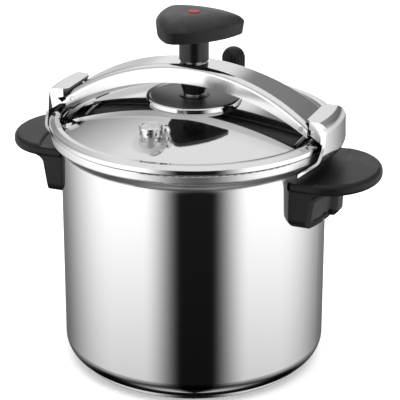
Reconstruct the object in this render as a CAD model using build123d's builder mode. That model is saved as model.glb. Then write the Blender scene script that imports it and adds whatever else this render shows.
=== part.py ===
from build123d import *
import math
import os

os.makedirs("parts", exist_ok=True)

# Pressure canner: steel pot, domed lid, drawn channel yoke, two claws and a clamp knob.
# Millimetres, Z up, table at Z 0. Yoke and handles lie along X.

# Driving dimensions: pot
pot_radius = 120.0
pot_wall = 1.2
corner_radius = 18.0
base_radius = pot_radius - 13.0
base_thickness = 3.0
base_skin = 0.8
rim_top_z = 221.5
rim_reach = 8.5
rim_height = 8.3
rim_cone_drop = 6.7
rim_round = 1.6
rim_low_round = 3.2
flare_round = 4.8

# Driving dimensions: lid
lid_sheet = 1.5
dome_edge_radius = pot_radius - 3.0
dome_edge_z = rim_top_z + 2.1
dome_rise = 280.0 - math.sqrt(280.0**2 - 117.0**2)
crest_z = rim_top_z + 7.5
crest_inner = pot_radius + 0.4
crest_outer = pot_radius + 4.8
skirt_radius = pot_radius + rim_reach + 1.5
skirt_gap = 0.9
crown_flat = 1.0
boss_radius = 43.0
boss_top_z = rim_top_z + 29.0
pad_radius = 8.6
pad_rise = 0.97160504
pad_drop = 5.6
spigot_radius = 4.8
keeper_reach = 12.4
keeper_pad = 3.6
valve_spot = pot_radius - 32.0
valve_offset = 4.0

# Driving dimensions: yoke
yoke_top_z = boss_top_z + 31.0
yoke_sheet = 2.5
yoke_half_span = pot_radius - 4.5
yoke_top_rise = 193.0 - math.sqrt(193.0**2 - 115.5**2)
yoke_low_z = boss_top_z + 14.0
yoke_low_rise = 222.0 - math.sqrt(222.0**2 - 115.5**2)
yoke_half_mid = 17.0
yoke_half_end = 25.0
yoke_edge_round = 5.0

# Driving dimensions: claws
claw_sheet = 2.5
claw_radius = pot_radius + rim_reach + 8.1
claw_top_z = rim_top_z + 26.5
claw_top_round = 9.0
claw_bend_round = 6.0
claw_bend_z = rim_top_z - 6.66
claw_edge_radius = pot_radius + 1.6
claw_edge_z = rim_top_z - 20.0
hood_inner_x = pot_radius - 6.0
cheek_half = 26.0
cheek_inner_x = pot_radius - 2.5
ear_outer = 19.8
ear_thick = 3.0
pin_x = yoke_half_span - 6.0
pin_z = rim_top_z + 18.1
pin_radius = 2.2
ear_radius = 3.5
wall_gap = 1.2

# Driving dimensions: clamp screw and knob
screw_radius = 8.0
bush_wall = 2.5
bush_side_gap = 1.0
clamp_travel = 1.5
foot_bottom_radius = 9.5
foot_top_radius = 12.5
foot_height = 13.7
washer_thick = 1.8
stud_radius = 4.0
stud_height = 7.5
stem_radius = 13.25
stem_gap = 1.9
knob_width = 80.0
knob_corner_round = 10.0
knob_low_z = yoke_top_z + 26.0
knob_band = 10.5
knob_top_z = knob_low_z + 19.0
knob_turned = 22.0
spot_radius = 5.75

# Driving dimensions: handles
wing_centre_x = pot_radius + 10.0
wing_reach = 45.0
wing_half = 52.0
wing_top_z = rim_top_z - 21.0
wing_thick = 10.0
wing_top_round = 4.4
wing_low_round = 3.4
block_half = 50.6
block_round = 9.0
rib_half = 7.5
rib_reach = pot_radius + 21.0
block_low_z = wing_top_z - 44.0
block_top_depth = 17.0
block_low_depth = 13.0

# Clearances
run_gap = 0.06
part_gap = 0.3
weld_gap = 0.1

# Worked out from the driving dimensions
pot_inner = pot_radius - pot_wall
rim_radius = pot_radius + rim_reach
rim_low_z = rim_top_z - rim_height
cone_low_z = rim_low_z - rim_cone_drop
corner_x = pot_radius - corner_radius
corner_z = base_thickness + corner_radius
dome_radius = (dome_edge_radius**2 + dome_rise**2) / (2 * dome_rise)
dome_centre_z = dome_edge_z + dome_rise - dome_radius
pad_z = dome_centre_z + math.sqrt(dome_radius**2 - valve_spot**2) + pad_rise
dome_inner = dome_radius - lid_sheet
web_low_z = yoke_top_z - yoke_sheet
yoke_top_arc = (yoke_half_span**2 + yoke_top_rise**2) / (2 * yoke_top_rise)
yoke_low_arc = (yoke_half_span**2 + yoke_low_rise**2) / (2 * yoke_low_rise)
top_arc_z = yoke_top_z - yoke_top_arc
low_arc_z = yoke_low_z - yoke_low_arc
plan_arc = (yoke_half_span**2 + (yoke_half_end - yoke_half_mid)**2) / (2 * (yoke_half_end - yoke_half_mid))
washer_top_z = boss_top_z + washer_thick
foot_top_z = washer_top_z + foot_height
stem_low_z = yoke_top_z + stem_gap
wing_low_z = wing_top_z - wing_thick


def arc_z(radius, centre_z, x):
    """Height of an arc that crowns on the Z axis."""
    return centre_z + math.sqrt(radius**2 - x**2)


def dome_point(radius, x):
    """Point of the dome profile at x."""
    return (x, arc_z(radius, dome_centre_z, x))


def dome_flat(radius):
    """Edge of the small flat at the crown of the dome."""
    return (crown_flat, arc_z(radius, dome_centre_z, 0))


def dome_slope(radius, x):
    """Outward direction of the dome profile at x."""
    return (math.sqrt(radius**2 - x**2), -x)


def plan_half(x, inset):
    """Half width of the yoke at x, drawn in by the inset."""
    return yoke_half_mid - inset + plan_arc - math.sqrt(plan_arc**2 - x**2)


def corner_point(radius, degrees):
    """Point on the bottom corner curve, turned from straight down."""
    turn = math.radians(degrees)
    return (corner_x + radius * math.sin(turn), corner_z - radius * math.cos(turn))


# Pot: one drawn shell with a folded rim
corner_in = corner_radius - pot_wall
with BuildPart() as pot_body:
    with BuildSketch(Plane.XZ) as pot_profile:
        with BuildLine():
            Line((0, base_thickness), (corner_x, base_thickness))
            ThreePointArc((corner_x, base_thickness), corner_point(corner_radius, 45), (pot_radius, corner_z))
            Polyline(
                (pot_radius, corner_z),
                (pot_radius, cone_low_z),
                (rim_radius, rim_low_z),
                (rim_radius, rim_top_z),
                (pot_inner, rim_top_z),
                (pot_inner, corner_z),
            )
            ThreePointArc(
                (pot_inner, corner_z),
                corner_point(corner_in, 45),
                (corner_x, base_thickness + pot_wall),
            )
            Polyline(
                (corner_x, base_thickness + pot_wall),
                (0, base_thickness + pot_wall),
                (0, base_thickness),
            )
        make_face()
        rim_corners = [v for v in pot_profile.vertices() if abs(v.X - rim_radius) < 0.01]
        fillet([v for v in rim_corners if v.Y > rim_low_z + 0.01], rim_round)
        on_rim = [v for v in pot_profile.vertices() if abs(v.X - rim_radius) < 0.01]
        fillet([v for v in on_rim if v.Y < rim_low_z + 0.01], rim_low_round)
        fillet([v for v in pot_profile.vertices() if abs(v.Y - cone_low_z) < 0.01], flare_round)
    revolve(axis=Axis.Z)
pot_body.part.label = "pot_body"
export_step(pot_body.part, "parts/pot_body.step")

# Base: aluminium core held in a steel cap
cap_top_z = corner_z - math.sqrt(corner_radius**2 - (base_radius - corner_x)**2)
core_radius = base_radius - base_skin
core_edge_z = corner_z - math.sqrt(corner_radius**2 - (core_radius - corner_x)**2)
core_turn = math.degrees(math.asin((core_radius - corner_x) / corner_radius))
with BuildPart() as base_core:
    with BuildSketch(Plane.XZ):
        with BuildLine():
            core_top_z = base_thickness - weld_gap
            Polyline((corner_x, core_top_z), (0, core_top_z), (0, base_skin), (core_radius, base_skin))
            Line((core_radius, base_skin), (core_radius, core_edge_z - weld_gap))
            ThreePointArc(
                (core_radius, core_edge_z - weld_gap),
                corner_point(corner_radius + weld_gap, core_turn / 2),
                (corner_x, core_top_z),
            )
        make_face()
    revolve(axis=Axis.Z)
base_core.part.label = "base_core"
export_step(base_core.part, "parts/base_core.step")

with BuildPart() as base_cap:
    with BuildSketch(Plane.XZ) as cap_profile:
        with BuildLine():
            Polyline(
                (0, 0),
                (base_radius, 0),
                (base_radius, cap_top_z - weld_gap),
                (core_radius, core_edge_z - weld_gap),
                (core_radius, base_skin),
                (0, base_skin),
                close=True,
            )
        make_face()
        fillet([v for v in cap_profile.vertices() if v.X > base_radius - 0.01 and v.Y < 0.01], base_skin)
    revolve(axis=Axis.Z)
base_cap.part.label = "base_cap"
export_step(base_cap.part, "parts/base_cap.step")

# Lid: domed sheet with a raised edge channel for the gasket
keeper_turn = math.radians(knob_turned)
keeper = (
    keeper_reach * math.cos(keeper_turn) - valve_offset,
    keeper_reach * math.sin(keeper_turn) - valve_spot,
)
channel_low_z = rim_top_z + skirt_gap
with BuildPart() as lid:
    with BuildSketch(Plane.XZ):
        with BuildLine():
            dome_mid = dome_edge_radius / 2
            in_edge = dome_edge_radius - 0.6
            in_edge_z = dome_edge_z - lid_sheet
            Line((0, arc_z(dome_radius, dome_centre_z, 0)), dome_flat(dome_radius))
            Spline(
                dome_flat(dome_radius),
                dome_point(dome_radius, dome_mid),
                dome_point(dome_radius, dome_edge_radius),
                tangents=(dome_slope(dome_radius, 0), dome_slope(dome_radius, dome_edge_radius)),
            )
            Polyline(
                (dome_edge_radius, dome_edge_z),
                (crest_inner - 1.6, dome_edge_z + 0.1),
                (crest_inner - 0.5, crest_z - 0.5),
                (crest_inner + 0.2, crest_z),
                (crest_outer, crest_z),
                (skirt_radius - 1.2, crest_z - 1.6),
                (skirt_radius, crest_z - 2.8),
                (skirt_radius, channel_low_z),
                (skirt_radius - lid_sheet, channel_low_z),
                (skirt_radius - lid_sheet, crest_z - 3.4),
                (crest_outer - 0.4, crest_z - lid_sheet),
                (crest_inner + 1.0, crest_z - lid_sheet),
                (crest_inner - 0.1, in_edge_z),
                dome_point(dome_inner, in_edge),
            )
            Line(dome_point(dome_inner, 0), dome_flat(dome_inner))
            Spline(
                dome_flat(dome_inner),
                dome_point(dome_inner, dome_mid),
                dome_point(dome_inner, in_edge),
                tangents=(dome_slope(dome_inner, 0), dome_slope(dome_inner, in_edge)),
            )
            Line(dome_point(dome_inner, 0), dome_point(dome_radius, 0))
        make_face()
    revolve(axis=Axis.Z)
    with BuildPart(mode=Mode.PRIVATE) as under_dome:
        with BuildSketch(Plane.XZ):
            with BuildLine():
                Line((0, arc_z(dome_radius, dome_centre_z, 0)), dome_flat(dome_radius))
                Spline(
                    dome_flat(dome_radius),
                    dome_point(dome_radius, dome_mid),
                    dome_point(dome_radius, dome_edge_radius),
                    tangents=(dome_slope(dome_radius, 0), dome_slope(dome_radius, dome_edge_radius)),
                )
                Polyline(
                    (dome_edge_radius, dome_edge_z),
                    (0, dome_edge_z),
                    (0, arc_z(dome_radius, dome_centre_z, 0)),
                )
            make_face()
        revolve(axis=Axis.Z)
    spots = [(side * valve_offset, side * valve_spot) for side in (-1, 1)]
    spot_radii = [(spots[0], pad_radius), (spots[1], pad_radius), (keeper, keeper_pad)]
    for spot, hole in spot_radii:
        with BuildPart(mode=Mode.PRIVATE) as pad_wall:
            with BuildSketch(Plane.XY.offset(pad_z)):
                with Locations(spot):
                    Circle(hole + lid_sheet)
            extrude(amount=pad_radius)
            add(under_dome.part, mode=Mode.INTERSECT)
        add(pad_wall.part)
        with BuildSketch(Plane.XY.offset(pad_z)):
            with Locations(spot):
                Circle(hole + lid_sheet)
        extrude(amount=-pad_drop)
    for spot, hole in spot_radii:
        with BuildSketch(Plane.XY.offset(pad_z)):
            with Locations(spot):
                Circle(hole)
        extrude(amount=pad_radius, mode=Mode.SUBTRACT)
    for spot in spots:
        with BuildSketch(Plane.XY.offset(pad_z - 2 * lid_sheet)):
            with Locations(spot):
                Circle(pad_radius)
        extrude(amount=-pad_radius, mode=Mode.SUBTRACT)
        with BuildSketch(Plane.XY.offset(pad_z)):
            with Locations(spot):
                Circle(spigot_radius + 0.2)
        extrude(amount=-pad_radius, mode=Mode.SUBTRACT)
lid.part.label = "lid"
export_step(lid.part, "parts/lid.step")

# Raised centre plate welded on the dome
with BuildPart() as lid_boss_plate:
    with BuildSketch(Plane.XZ) as plate_profile:
        with BuildLine():
            plate_arc = dome_radius + weld_gap
            Line(dome_point(plate_arc, 0), dome_flat(plate_arc))
            Spline(
                dome_flat(plate_arc),
                dome_point(plate_arc, boss_radius / 2),
                dome_point(plate_arc, boss_radius),
                tangents=(dome_slope(plate_arc, 0), dome_slope(plate_arc, boss_radius)),
            )
            Polyline(
                dome_point(plate_arc, boss_radius),
                (boss_radius, boss_top_z),
                (boss_radius - 3.0, boss_top_z),
                (boss_radius - 4.6, boss_top_z - 0.9),
                (2 * stud_radius + 6.0, boss_top_z - 0.9),
                (2 * stud_radius + 4.0, boss_top_z),
                (0, boss_top_z),
                dome_point(plate_arc, 0),
            )
        make_face()
        plate_edge = [v for v in plate_profile.vertices() if v.X > boss_radius - 0.01]
        fillet([v for v in plate_edge if v.Y > boss_top_z - 0.01], 1.8)
    revolve(axis=Axis.Z)
lid_boss_plate.part.label = "lid_boss_plate"
export_step(lid_boss_plate.part, "parts/lid_boss_plate.step")

with BuildPart() as lid_gasket:
    with BuildSketch(Plane.XZ):
        with BuildLine():
            Polyline(
                (crest_inner + 0.5, rim_top_z),
                (skirt_radius - lid_sheet - 0.4, rim_top_z),
                (skirt_radius - lid_sheet - 0.4, crest_z - 3.9),
                (crest_outer - 0.6, crest_z - lid_sheet - 0.2),
                (crest_inner + 1.4, crest_z - lid_sheet - 0.2),
                close=True,
            )
        make_face()
    revolve(axis=Axis.Z)
lid_gasket.part.label = "lid_gasket"
export_step(lid_gasket.part, "parts/lid_gasket.step")

# Swivel of the screw on the lid
with BuildPart() as lid_pivot_stud:
    with Locations((0, 0, boss_top_z)):
        Cylinder(stud_radius, stud_height, align=(Align.CENTER, Align.CENTER, Align.MIN))
    chamfer(lid_pivot_stud.edges().group_by(Axis.Z)[-1], 0.8)
lid_pivot_stud.part.label = "lid_pivot_stud"
export_step(lid_pivot_stud.part, "parts/lid_pivot_stud.step")

with BuildPart() as foot_washer:
    with Locations((0, 0, boss_top_z)):
        Cylinder(foot_bottom_radius, washer_thick, align=(Align.CENTER, Align.CENTER, Align.MIN))
        Cylinder(
            stud_radius + part_gap,
            washer_thick,
            align=(Align.CENTER, Align.CENTER, Align.MIN),
            mode=Mode.SUBTRACT,
        )
    fillet(foot_washer.edges().group_by(Axis.Z)[-1].sort_by(SortBy.LENGTH)[-1], 0.5)
foot_washer.part.label = "foot_washer"
export_step(foot_washer.part, "parts/foot_washer.step")

screw_low_z = boss_top_z + stud_height + 1.0
with BuildPart() as screw_foot:
    with BuildSketch(Plane.XZ):
        with BuildLine():
            Polyline(
                (stud_radius + run_gap, washer_top_z),
                (foot_bottom_radius, washer_top_z),
                (foot_top_radius, foot_top_z - 3.5),
                (foot_top_radius, foot_top_z - 0.6),
                (foot_top_radius - 0.6, foot_top_z),
                (screw_radius, foot_top_z),
                (screw_radius, screw_low_z),
                (stud_radius + run_gap, screw_low_z),
                close=True,
            )
        make_face()
    revolve(axis=Axis.Z)
screw_foot.part.label = "screw_foot"
export_step(screw_foot.part, "parts/screw_foot.step")

# Clamp screw, fast in the knob and the foot
neck_radius = 6.0
neck_low_z = stem_low_z + 7.0
nut_seat_z = knob_top_z - 9.5
tip_radius = 2.5
with BuildPart() as clamp_screw:
    with BuildSketch(Plane.XZ):
        with BuildLine():
            Polyline(
                (0, screw_low_z),
                (screw_radius, screw_low_z),
                (screw_radius, neck_low_z),
                (neck_radius, neck_low_z),
                (neck_radius, nut_seat_z),
                (tip_radius, nut_seat_z),
                (tip_radius, nut_seat_z + 5.6),
                (0, nut_seat_z + 5.6),
                close=True,
            )
        make_face()
    revolve(axis=Axis.Z)
clamp_screw.part.label = "clamp_screw"
export_step(clamp_screw.part, "parts/clamp_screw.step")

# Yoke: drawn channel, bow shaped in plan and arched in side view
with BuildPart() as yoke:
    top_end_z = arc_z(yoke_top_arc, top_arc_z, yoke_half_span)
    low_end_z = arc_z(yoke_low_arc, low_arc_z, yoke_half_span)
    with BuildSketch(Plane.XZ):
        with BuildLine():
            ThreePointArc((-yoke_half_span, top_end_z), (0, yoke_top_z), (yoke_half_span, top_end_z))
            Line((yoke_half_span, top_end_z), (yoke_half_span, low_end_z))
            ThreePointArc((yoke_half_span, low_end_z), (0, yoke_low_z), (-yoke_half_span, low_end_z))
            Line((-yoke_half_span, low_end_z), (-yoke_half_span, top_end_z))
        make_face()
    extrude(amount=2 * yoke_half_end, both=True)
    with BuildSketch(Plane.XY):
        with BuildLine():
            half = yoke_half_span + 1
            wide = plan_half(half, 0)
            ThreePointArc((-half, wide), (0, yoke_half_mid), (half, wide))
            Line((half, wide), (half, -wide))
            ThreePointArc((half, -wide), (0, -yoke_half_mid), (-half, -wide))
            Line((-half, -wide), (-half, wide))
        make_face()
    extrude(amount=2 * yoke_top_z, mode=Mode.INTERSECT)
    long_edges = yoke.edges().filter_by(lambda e: e.length > yoke_half_span)
    fillet(long_edges.sort_by(lambda e: e.center().Z)[-2:], yoke_edge_round)
    with BuildPart(mode=Mode.PRIVATE) as yoke_core:
        span = yoke_half_span + 8
        core_arc = yoke_top_arc - yoke_sheet
        with BuildSketch(Plane.XZ):
            with BuildLine():
                core_end_z = arc_z(core_arc, top_arc_z, span)
                ThreePointArc((-span, core_end_z), (0, web_low_z), (span, core_end_z))
                Polyline((span, core_end_z), (span, pin_z / 2), (-span, pin_z / 2), (-span, core_end_z))
            make_face()
        extrude(amount=2 * yoke_half_end, both=True)
        with BuildSketch(Plane.XY):
            with BuildLine():
                reach = span + 1
                slim = plan_half(reach, yoke_sheet)
                mid_slim = yoke_half_mid - yoke_sheet
                ThreePointArc((-reach, slim), (0, mid_slim), (reach, slim))
                Line((reach, slim), (reach, -slim))
                ThreePointArc((reach, -slim), (0, -mid_slim), (-reach, -slim))
                Line((-reach, -slim), (-reach, slim))
            make_face()
        extrude(amount=2 * yoke_top_z, mode=Mode.INTERSECT)
        core_edges = yoke_core.edges().filter_by(lambda e: e.length > yoke_half_span)
        fillet(core_edges.sort_by(lambda e: e.center().Z)[-2:], yoke_edge_round - yoke_sheet)
    add(yoke_core.part, mode=Mode.SUBTRACT)
    bush_radius = screw_radius + bush_wall
    collar_radius = stem_radius - 1.25
    spot_face_z = yoke_top_z - 0.4
    Cylinder(bush_radius, 2 * yoke_top_z, align=(Align.CENTER, Align.CENTER, Align.MIN), mode=Mode.SUBTRACT)
    with Locations((0, 0, spot_face_z)):
        Cylinder(
            collar_radius + part_gap,
            yoke_sheet,
            align=(Align.CENTER, Align.CENTER, Align.MIN),
            mode=Mode.SUBTRACT,
        )
    with Locations(Location((pin_x, 0, pin_z), (90, 0, 0)), Location((-pin_x, 0, pin_z), (90, 0, 0))):
        Cylinder(pin_radius, 3 * yoke_half_end, mode=Mode.SUBTRACT)
yoke.part.label = "yoke"
export_step(yoke.part, "parts/yoke.step")

with BuildPart() as yoke_bush:
    with BuildSketch(Plane.XZ):
        with BuildLine():
            collar_top_z = yoke_top_z
            bush_low_z = foot_top_z + clamp_travel + 1.5
            bush_lip = yoke_half_mid - yoke_sheet - bush_side_gap
            Polyline(
                (screw_radius + run_gap, bush_low_z),
                (bush_lip, bush_low_z),
                (bush_lip, web_low_z - 0.5),
                (bush_radius, web_low_z - 0.5),
                (bush_radius, spot_face_z),
                (collar_radius, spot_face_z),
                (collar_radius, collar_top_z),
                (screw_radius + run_gap, collar_top_z),
                close=True,
            )
        make_face()
    revolve(axis=Axis.Z)
yoke_bush.part.label = "yoke_bush"
export_step(yoke_bush.part, "parts/yoke_bush.step")

# Claws: pressed hoods that pivot on pins in the yoke ends
lip_run = claw_radius - claw_edge_radius
lip_drop = claw_bend_z - claw_edge_z
lip_long = math.hypot(lip_run, lip_drop)
lip_nx = -lip_drop / lip_long * claw_sheet
lip_nz = lip_run / lip_long * claw_sheet
claw_in = claw_radius - claw_sheet
bend_in_z = claw_bend_z + (claw_sheet + lip_nx) * -lip_drop / lip_run + lip_nz
with BuildPart() as claw_right:
    with BuildPart(mode=Mode.PRIVATE) as envelope:
        with BuildSketch(Plane.XZ) as envelope_profile:
            with BuildLine():
                Polyline(
                    (pin_x - 10, claw_edge_z),
                    (claw_edge_radius, claw_edge_z),
                    (claw_radius, claw_bend_z),
                    (claw_radius, claw_top_z),
                    (pin_x - 10, claw_top_z),
                    close=True,
                )
            make_face()
            outer_top = [v for v in envelope_profile.vertices() if v.X > claw_radius - 0.01 and v.Y > pin_z]
            fillet(outer_top, claw_top_round)
            outer_side = [v for v in envelope_profile.vertices() if v.X > claw_radius - 0.01]
            outer_bend = [v for v in outer_side if v.Y < claw_bend_z + 1]
            fillet(outer_bend, claw_bend_round)
        revolve(axis=Axis.Z)
    with BuildSketch(Plane.XZ) as sheet_profile:
        with BuildLine():
            Polyline(
                (claw_edge_radius, claw_edge_z),
                (claw_radius, claw_bend_z),
                (claw_radius, claw_top_z),
                (claw_radius - 14.0, claw_top_z),
                (claw_radius - 14.0, claw_top_z - claw_sheet),
                (claw_in, claw_top_z - claw_sheet),
                (claw_in, bend_in_z),
                (claw_edge_radius + lip_nx, claw_edge_z + lip_nz),
                close=True,
            )
        make_face()
        sheet_top = [v for v in sheet_profile.vertices() if v.X > claw_radius - 0.01 and v.Y > pin_z]
        fillet(sheet_top, claw_top_round)
        sheet_side = [v for v in sheet_profile.vertices() if v.X > claw_radius - 0.01]
        sheet_bend = [v for v in sheet_side if v.Y < claw_bend_z + 1]
        fillet(sheet_bend, claw_bend_round)
        inner_top = [v for v in sheet_profile.vertices() if abs(v.X - claw_in) < 0.01 and v.Y > pin_z]
        fillet(inner_top, claw_top_round - claw_sheet)
        inner_bend = [v for v in sheet_profile.vertices() if abs(v.X - claw_in) < 0.01 and v.Y < pin_z - 12]
        fillet(inner_bend, claw_bend_round - claw_sheet)
    revolve(axis=Axis.Z)
    with BuildSketch(Plane.YZ.offset(pin_x - 12)):
        with BuildLine():
            rear_edge = Spline(
                (cheek_half - 2.5, claw_top_z + 0.5),
                (cheek_half + 0.6, claw_top_z - 6),
                (cheek_half + 2.5, claw_top_z - 14),
                (cheek_half + 4.5, claw_top_z - 22),
                (cheek_half + 9.5, claw_bend_z + 3),
                (cheek_half + 16.5, claw_edge_z - 1),
            )
            mirror(about=Plane.YZ)
            Line(rear_edge @ 0, (-(cheek_half - 2.5), claw_top_z + 0.5))
            Line(rear_edge @ 1, (-(cheek_half + 16.5), claw_edge_z - 1))
        make_face()
    extrude(amount=claw_radius, mode=Mode.INTERSECT)
    with BuildPart(mode=Mode.PRIVATE) as hood:
        with BuildSketch(Plane.XY.offset(claw_top_z)):
            with BuildLine():
                Polyline(
                    (hood_inner_x, cheek_half - 5),
                    (cheek_inner_x, cheek_half - 1.2),
                    (cheek_inner_x + 4, cheek_half),
                    (claw_radius, cheek_half),
                    (claw_radius, -cheek_half),
                    (cheek_inner_x + 4, -cheek_half),
                    (cheek_inner_x, -cheek_half + 1.2),
                    (hood_inner_x, -cheek_half + 5),
                    close=True,
                )
            make_face()
        extrude(amount=-claw_sheet)
        for side in (-1, 1):
            with BuildSketch(Plane.XZ.offset(side * (cheek_half - claw_sheet / 2))):
                with BuildLine():
                    Polyline(
                        (cheek_inner_x, claw_top_z),
                        (claw_radius, claw_top_z),
                        (claw_radius, claw_top_z - 22.0),
                        (claw_radius - 4.0, claw_top_z - 22.0),
                        (cheek_inner_x + 1.2, pin_z - 4.1),
                        (cheek_inner_x + 6.2, pin_z - 0.6),
                        (cheek_inner_x, pin_z + 1.2),
                        close=True,
                    )
                make_face()
            extrude(amount=claw_sheet / 2, both=True)
            with BuildSketch(Plane.XZ.offset(side * (ear_outer - ear_thick / 2))):
                with BuildLine():
                    Polyline(
                        (pin_x, pin_z - ear_radius),
                        (pin_x + 6, pin_z - 6.3),
                        (claw_radius - 10, pin_z - 8.5),
                        (claw_radius, pin_z - 8.5),
                        (claw_radius, pin_z + 1.0),
                        (pin_x + 12, pin_z + 1.0),
                        (pin_x + 8.6, pin_z - 0.4),
                        (pin_x + 6.8, pin_z - 2.4),
                        (pin_x + 5.2, pin_z - 2.4),
                        (pin_x + 4.6, pin_z - 1.6),
                        (pin_x + 2.4, pin_z + 1.6),
                        (pin_x, pin_z + 2.6),
                        close=True,
                    )
                make_face()
                with Locations((pin_x, pin_z)):
                    Circle(ear_radius)
            extrude(amount=ear_thick / 2, both=True)
        add(envelope.part, mode=Mode.INTERSECT)
    add(hood.part)
    with Locations(Location((pin_x, 0, pin_z), (90, 0, 0))):
        Cylinder(pin_radius + run_gap, 2 * cheek_half, mode=Mode.SUBTRACT)
    Cylinder(
        pot_radius + wall_gap,
        rim_low_z,
        align=(Align.CENTER, Align.CENTER, Align.MIN),
        mode=Mode.SUBTRACT,
    )
claw_right.part.label = "claw_right"
export_step(claw_right.part, "parts/claw_right.step")

with BuildPart() as claw_left:
    add(claw_right.part.rotate(Axis.Z, 180))
claw_left.part.label = "claw_left"
export_step(claw_left.part, "parts/claw_left.step")

pin_half = plan_half(pin_x, 0) - 0.3
with BuildPart() as claw_pin_right:
    with Locations(Location((pin_x, 0, pin_z), (90, 0, 0))):
        Cylinder(pin_radius, 2 * pin_half)
    chamfer(claw_pin_right.edges().filter_by(GeomType.CIRCLE), 0.3)
claw_pin_right.part.label = "claw_pin_right"
export_step(claw_pin_right.part, "parts/claw_pin_right.step")

with BuildPart() as claw_pin_left:
    add(claw_pin_right.part.rotate(Axis.Z, 180))
claw_pin_left.part.label = "claw_pin_left"
export_step(claw_pin_left.part, "parts/claw_pin_left.step")

# Knob: three cornered grip on a round stem
knob_reach = knob_width / math.sqrt(3)
band_top_z = knob_low_z + knob_band
crown_rise = knob_top_z - band_top_z
crown_tiers = ((1.0, 0.0), (0.9, 0.47), (0.72, 0.78), (0.5, 0.94), (0.3, 1.0))
pocket_radius = spot_radius + 0.1


def knob_outline(grow):
    """Three cornered outline with bowed sides, scaled by grow."""
    for corner in range(3):
        turn = math.radians(knob_turned + 120 * corner)
        with Locations((grow * knob_reach * math.cos(turn), grow * knob_reach * math.sin(turn))):
            Circle(grow * knob_width, mode=Mode.ADD if corner == 0 else Mode.INTERSECT)


with BuildPart() as knob:
    with BuildSketch(Plane.XY.offset(knob_low_z)) as low_outline:
        knob_outline(0.965)
        fillet(low_outline.vertices(), knob_corner_round)
    with BuildSketch(Plane.XY.offset(band_top_z)) as band_outline:
        knob_outline(1.0)
        fillet(band_outline.vertices(), knob_corner_round)
    loft()
    for grow, share in crown_tiers:
        with BuildSketch(Plane.XY.offset(band_top_z + share * crown_rise)) as tier_outline:
            knob_outline(grow)
            fillet(tier_outline.vertices(), grow * knob_corner_round)
    loft()
    with Locations((0, 0, stem_low_z)):
        Cylinder(stem_radius, knob_low_z - stem_low_z + 2, align=(Align.CENTER, Align.CENTER, Align.MIN))
        Cylinder(
            screw_radius,
            neck_low_z - stem_low_z,
            align=(Align.CENTER, Align.CENTER, Align.MIN),
            mode=Mode.SUBTRACT,
        )
        Cylinder(
            neck_radius,
            nut_seat_z - stem_low_z,
            align=(Align.CENTER, Align.CENTER, Align.MIN),
            mode=Mode.SUBTRACT,
        )
    with Locations((0, 0, nut_seat_z)):
        Cylinder(pocket_radius, 20.0, align=(Align.CENTER, Align.CENTER, Align.MIN), mode=Mode.SUBTRACT)
knob.part.label = "knob"
export_step(knob.part, "parts/knob.step")

with BuildPart() as knob_washer:
    with BuildSketch(Plane.XY.offset(nut_seat_z)):
        Circle(spot_radius - 0.4)
        Circle(tip_radius + 0.1, mode=Mode.SUBTRACT)
    extrude(amount=1.0)
knob_washer.part.label = "knob_washer"
export_step(knob_washer.part, "parts/knob_washer.step")

with BuildPart() as knob_nut:
    with BuildSketch(Plane.XY.offset(nut_seat_z + 1.0)):
        RegularPolygon(spot_radius - 0.8, 6)
        Circle(tip_radius, mode=Mode.SUBTRACT)
    extrude(amount=4.0)
knob_nut.part.label = "knob_nut"
export_step(knob_nut.part, "parts/knob_nut.step")

with BuildPart() as knob_spot:
    with Locations((0, 0, nut_seat_z + 6.2)):
        Cylinder(spot_radius, 3.9, align=(Align.CENTER, Align.CENTER, Align.MIN))
    fillet(knob_spot.edges().group_by(Axis.Z)[-1], 0.9)
knob_spot.part.label = "knob_spot"
export_step(knob_spot.part, "parts/knob_spot.step")

# Handles and their welded brackets
plate_thick = 2.5
plate_half = 30.0
plate_low_z = block_low_z + 8.0
plate_top_z = wing_low_z - 1.0
lug_z = plate_top_z - 7.0
lug_thick = 4.0
lug_depth = 11.0
bolt_x = pot_radius + 7.0
bolt_y = 20.0
bolt_radius = 2.5
bolt_head = 4.4
head_z = block_low_z + 5.0
head_tall = 3.2
with BuildPart() as bracket_right:
    with BuildSketch(Plane.XY.offset(plate_low_z)):
        Circle(pot_radius + plate_thick)
        Circle(pot_radius, mode=Mode.SUBTRACT)
        with Locations((pot_radius, 0)):
            Rectangle(pot_radius, 2 * plate_half, mode=Mode.INTERSECT)
    extrude(amount=plate_top_z - plate_low_z)
    with BuildSketch(Plane.XY.offset(lug_z)):
        Circle(pot_radius + lug_depth)
        Circle(pot_radius, mode=Mode.SUBTRACT)
        with Locations((pot_radius, 0)):
            Rectangle(pot_radius, 2 * plate_half, mode=Mode.INTERSECT)
        with Locations((bolt_x, bolt_y), (bolt_x, -bolt_y)):
            Circle(bolt_radius, mode=Mode.SUBTRACT)
    extrude(amount=lug_thick)
    with Locations((bolt_x, bolt_y, lug_z), (bolt_x, -bolt_y, lug_z)):
        Cylinder(
            bolt_radius,
            lug_thick,
            align=(Align.CENTER, Align.CENTER, Align.MIN),
            mode=Mode.SUBTRACT,
        )
bracket_right.part.label = "bracket_right"
export_step(bracket_right.part, "parts/bracket_right.step")

with BuildPart() as bracket_left:
    add(bracket_right.part.rotate(Axis.Z, 180))
bracket_left.part.label = "bracket_left"
export_step(bracket_left.part, "parts/bracket_left.step")

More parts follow.
